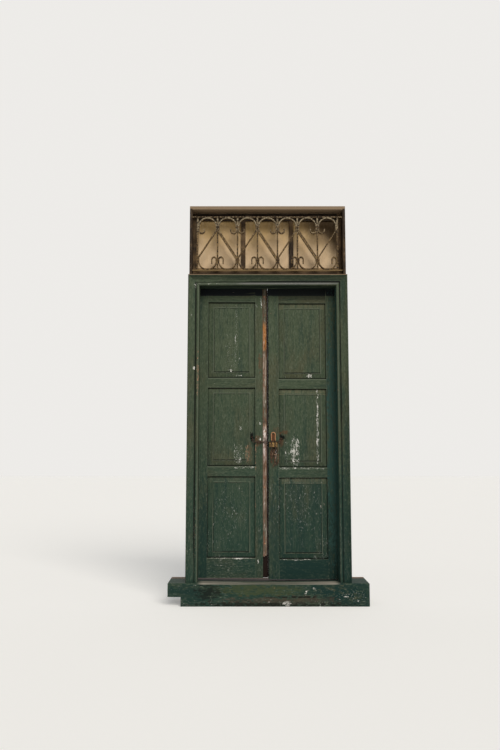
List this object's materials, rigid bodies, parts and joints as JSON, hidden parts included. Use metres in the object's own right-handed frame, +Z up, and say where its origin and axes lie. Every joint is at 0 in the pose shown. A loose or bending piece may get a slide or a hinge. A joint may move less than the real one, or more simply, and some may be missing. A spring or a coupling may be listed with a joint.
{
  "type": "panelled double door",
  "caption": "Old panelled double door in its timber frame, with a moulded architrave, an ironwork grille over the light above it, a timber threshold, and a chain and padlock.",
  "frame": {"origin": "middle of the threshold's foot, in the plane of the posts' front faces", "axes": "+Z up, street side towards -Y, +X to the right as seen from the street"},
  "size_m": [1.436, 0.29, 2.95],
  "materials": {
    "green_wood": "old dark green gloss paint, dulled, chipped and worn to bare wood at arrises",
    "worn_wood": "bare weathered softwood with traces of paint",
    "brown_wood": "old brown varnish, dull and dusty",
    "dusty_pane": "glass painted over tan inside, dusty",
    "wrought_iron": "grey-green paint, rusting through brown",
    "chain_iron": "dark rusty iron",
    "lock_brass": "tarnished brass",
    "rusty_steel": "orange rust",
    "hinge_steel": "dark oiled steel"
  },
  "bodies": {
    "frame": {"threshold_beam": "green_wood", "left_post": "green_wood", "right_post": "green_wood", "door_head": "green_wood", "left_architrave": "green_wood", "right_architrave": "green_wood", "head_architrave": "green_wood", "left_lining": "brown_wood", "right_lining": "brown_wood", "top_lining": "brown_wood", "sash_left_stile": "brown_wood", "sash_right_stile": "brown_wood", "sash_top_rail": "brown_wood", "sash_bottom_rail": "brown_wood", "left_mullion": "brown_wood", "right_mullion": "brown_wood", "glazing_beads": "brown_wood", "left_pane": "dusty_pane", "middle_pane": "dusty_pane", "right_pane": "dusty_pane", "grille_top_rail": "wrought_iron", "grille_bottom_rail": "wrought_iron", "grille_bars": "wrought_iron", "grille_scrolls_left_hand": "wrought_iron", "grille_scrolls_right_hand": "wrought_iron", "grille_braces": "wrought_iron", "grille_collars": "wrought_iron", "hinge_frame_plates": "hinge_steel", "hinge_pins": "hinge_steel"},
    "left_leaf": {"left_hanging_stile": "green_wood", "left_meeting_stile": "green_wood", "left_bottom_rail": "green_wood", "left_lower_rail": "green_wood", "left_upper_rail": "green_wood", "left_top_rail": "green_wood", "left_lower_panel": "green_wood", "left_middle_panel": "green_wood", "left_upper_panel": "green_wood", "left_chain": "chain_iron", "left_hinge_plates": "hinge_steel", "meeting_strip": "worn_wood"},
    "right_leaf": {"right_hanging_stile": "green_wood", "right_meeting_stile": "green_wood", "right_bottom_rail": "green_wood", "right_lower_rail": "green_wood", "right_upper_rail": "green_wood", "right_top_rail": "green_wood", "right_lower_panel": "green_wood", "right_middle_panel": "green_wood", "right_upper_panel": "green_wood", "right_chain": "chain_iron", "right_hinge_plates": "hinge_steel", "padlock_body": "lock_brass"},
    "shackle": {"padlock_shackle": "rusty_steel"},
    "left_tail": {"left_chain_tail": "chain_iron"},
    "right_tail": {"right_chain_tail": "chain_iron"}
  },
  "joints": [
    {"name": "left_leaf_hinge", "type": "hinge", "parent": "frame", "child": "left_leaf", "pos_m": [-0.52275, 0.1538, 1.21], "axis": [0, 0, 1], "range_deg": [0, 95]},
    {"name": "right_leaf_hinge", "type": "hinge", "parent": "frame", "child": "right_leaf", "pos_m": [0.52275, 0.1538, 1.21], "axis": [0, 0, -1], "range_deg": [0, 95]},
    {"name": "shackle_lift", "type": "slide", "parent": "right_leaf", "child": "shackle", "axis": [0, 0, 1], "range_m": [0, 0.009]},
    {"name": "left_tail_swing", "type": "hinge", "parent": "right_leaf", "child": "left_tail", "pos_m": [0.0267, 0.07055, 1.1691], "axis": [-1, 0, 0], "range_deg": [0, 30]},
    {"name": "right_tail_swing", "type": "hinge", "parent": "right_leaf", "child": "right_tail", "pos_m": [0.0552, 0.07055, 1.1691], "axis": [-1, 0, 0], "range_deg": [0, 30]}
  ]
}
